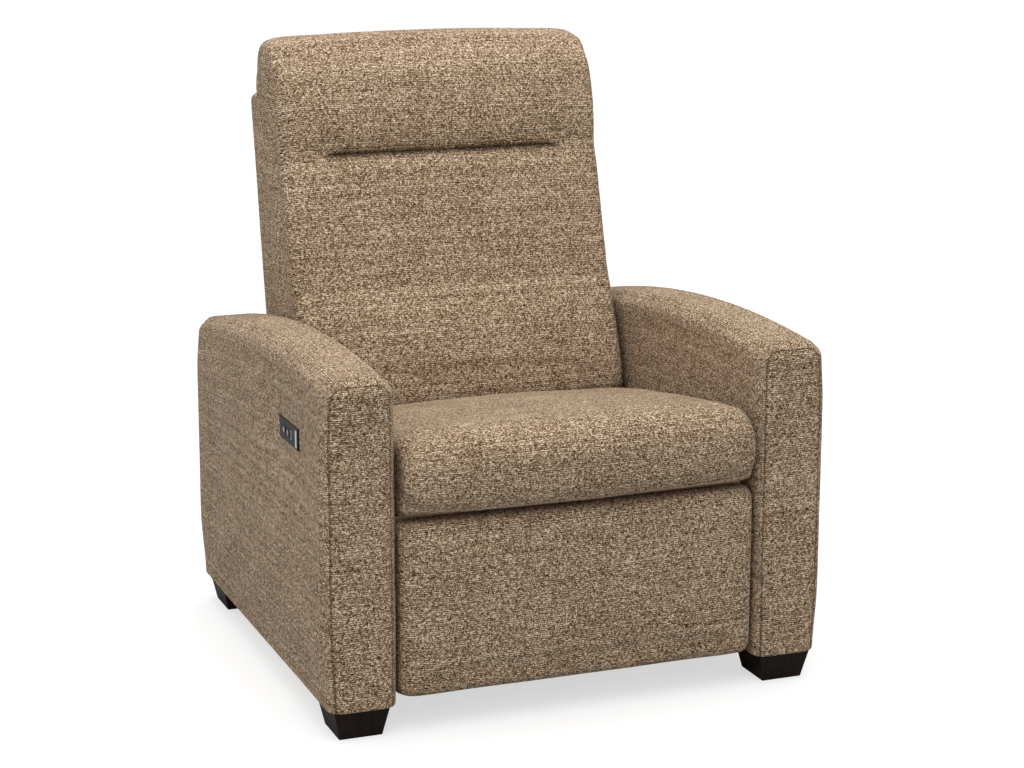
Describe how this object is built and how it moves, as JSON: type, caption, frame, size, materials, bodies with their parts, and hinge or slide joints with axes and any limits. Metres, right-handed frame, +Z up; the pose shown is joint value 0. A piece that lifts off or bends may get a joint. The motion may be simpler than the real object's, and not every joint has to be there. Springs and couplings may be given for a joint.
{
  "type": "wall hugger recliner",
  "caption": "Upholstered power recliner with arched slab arms, a headrest tuck, tapered feet, a gliding seat, a reclining back and a folding footrest.",
  "frame": {"origin": "on the floor under the middle of the overall width and depth, with the footrest closed and the back upright", "axes": "+Z up, the chair faces -Y, +X is to the right of someone who looks along +Y at its front"},
  "size_m": [0.8642, 0.9442, 1.0595],
  "materials": {
    "upholstery": "woven tweed",
    "webbing": "woven strap",
    "frame_wood": "sanded",
    "foot_wood": "dark stain, satin lacquer",
    "frame_steel": "black powder coat",
    "zinc_steel": "zinc plated",
    "roller_nylon": "moulded",
    "motor_shell": "satin black",
    "gear_housing": "moulded",
    "switch_black": "satin",
    "port_grey": "satin",
    "bright_bar": "polished",
    "supply_black": "moulded"
  },
  "bodies": {
    "base": {"left_arm_cover": "upholstery", "right_arm_cover": "upholstery", "left_arm_panel": "frame_wood", "right_arm_panel": "frame_wood", "left_arm_frame": "frame_wood", "right_arm_frame": "frame_wood", "front_left_foot": "foot_wood", "front_right_foot": "foot_wood", "rear_left_foot": "foot_wood", "rear_right_foot": "foot_wood", "foot_bolts": "zinc_steel", "front_cross_rail": "frame_wood", "rear_cross_rail": "frame_wood", "rear_base_panel": "upholstery", "left_track": "frame_steel", "right_track": "frame_steel", "back_link_mounts": "frame_steel", "switch_bezel": "switch_black", "charging_port": "port_grey", "accent_bar": "bright_bar", "power_supply": "supply_black", "power_inlet": "supply_black"},
    "carriage": {"carriage_left_plate": "frame_steel", "carriage_right_plate": "frame_steel", "carriage_cross_tube": "frame_steel", "seat_frame": "frame_wood", "seat_springs": "zinc_steel", "spring_clips": "zinc_steel", "seat_cushion": "upholstery", "roller_axles": "zinc_steel", "carriage_pivot_pins": "zinc_steel", "motor": "motor_shell", "gearbox": "gear_housing", "motor_bracket": "frame_steel", "drive_screw": "zinc_steel"},
    "front_rollers": {"front_rollers": "roller_nylon"},
    "rear_rollers": {"rear_rollers": "roller_nylon"},
    "front_links": {"swing_links": "frame_steel", "torque_tube": "frame_steel", "swing_link_rivets": "zinc_steel"},
    "cross_links": {"cross_links": "frame_steel", "cross_link_rivets": "zinc_steel"},
    "rear_links": {"rear_links": "frame_steel", "rear_link_rivets": "zinc_steel"},
    "lower_links": {"lower_links": "frame_steel", "lower_link_rivets": "zinc_steel"},
    "footrest": {"footrest_brackets": "frame_steel", "footrest_board": "frame_wood", "footrest_pad": "upholstery"},
    "drive_block": {"drive_yoke": "roller_nylon"},
    "back": {"back_brackets": "frame_steel", "back_frame": "frame_wood", "back_webbing": "webbing", "back_pad": "upholstery", "outer_back": "upholstery", "back_pivot_pins": "zinc_steel"},
    "back_links": {"back_drive_links": "frame_steel"},
    "open_button": {"open_button": "switch_black"},
    "close_button": {"close_button": "switch_black"}
  },
  "joints": [
    {"name": "seat_glide", "type": "slide", "parent": "base", "child": "carriage", "axis": [0, -1, 0], "range_m": [0, 0.16]},
    {"name": "front_roller_spin", "type": "hinge", "parent": "carriage", "child": "front_rollers", "pos_m": [0, -0.205, 0.232], "axis": [1, 0, 0], "range_deg": [0, 765]},
    {"name": "rear_roller_spin", "type": "hinge", "parent": "carriage", "child": "rear_rollers", "pos_m": [0, 0.065, 0.232], "axis": [1, 0, 0], "range_deg": [0, 765]},
    {"name": "back_recline", "type": "hinge", "parent": "carriage", "child": "back", "pos_m": [0, 0.097, 0.356], "axis": [-1, 0, 0], "range_deg": [0, 30]},
    {"name": "back_link_swing", "type": "hinge", "parent": "base", "child": "back_links", "pos_m": [0, 0.1488, 0.092], "axis": [1, 0, 0], "range_deg": [0, 38.57]},
    {"name": "footrest_swing", "type": "hinge", "parent": "carriage", "child": "front_links", "pos_m": [0, -0.325, 0.312], "axis": [-1, 0, 0], "range_deg": [0, 110.06]},
    {"name": "cross_link_swing", "type": "hinge", "parent": "front_links", "child": "cross_links", "pos_m": [0, -0.26778, 0.17248], "axis": [1, 0, 0], "range_deg": [0, 146.27]},
    {"name": "lower_link_swing", "type": "hinge", "parent": "front_links", "child": "lower_links", "pos_m": [0, -0.25055, 0.13047], "axis": [1, 0, 0], "range_deg": [0, 140.22]},
    {"name": "rear_link_swing", "type": "hinge", "parent": "carriage", "child": "rear_links", "pos_m": [0, -0.265, 0.2748], "axis": [-1, 0, 0], "range_deg": [0, 107.76]},
    {"name": "footrest_turn", "type": "hinge", "parent": "cross_links", "child": "footrest", "pos_m": [0, -0.373, 0.312], "axis": [-1, 0, 0], "range_deg": [0, 126.21]},
    {"name": "drive_travel", "type": "slide", "parent": "carriage", "child": "drive_block", "axis": [0, -1, 0], "range_m": [0, 0.082]},
    {"name": "open_button_press", "type": "slide", "parent": "base", "child": "open_button", "axis": [1, 0, 0], "range_m": [0, 0.0015], "stiffness_N_per_m": 400},
    {"name": "close_button_press", "type": "slide", "parent": "base", "child": "close_button", "axis": [1, 0, 0], "range_m": [0, 0.0015], "stiffness_N_per_m": 400}
  ],
  "couplings": [
    {"joint": "front_roller_spin", "follows": "seat_glide", "rad_per_m": 83.333},
    {"joint": "rear_roller_spin", "follows": "seat_glide", "rad_per_m": 83.333},
    {"joint": "back_recline", "follows": "seat_glide", "rad_per_m": 3.2725},
    {"joint": "back_link_swing", "follows": "seat_glide", "rad_per_m": 4.2066},
    {"joint": "cross_link_swing", "follows": "footrest_swing", "ratio": 1.3286},
    {"joint": "lower_link_swing", "follows": "footrest_swing", "ratio": 1.2736},
    {"joint": "rear_link_swing", "follows": "footrest_swing", "ratio": 0.97871},
    {"joint": "footrest_turn", "follows": "footrest_swing", "ratio": 1.1463},
    {"joint": "drive_travel", "follows": "footrest_swing", "m_per_rad": 0.04266}
  ]
}
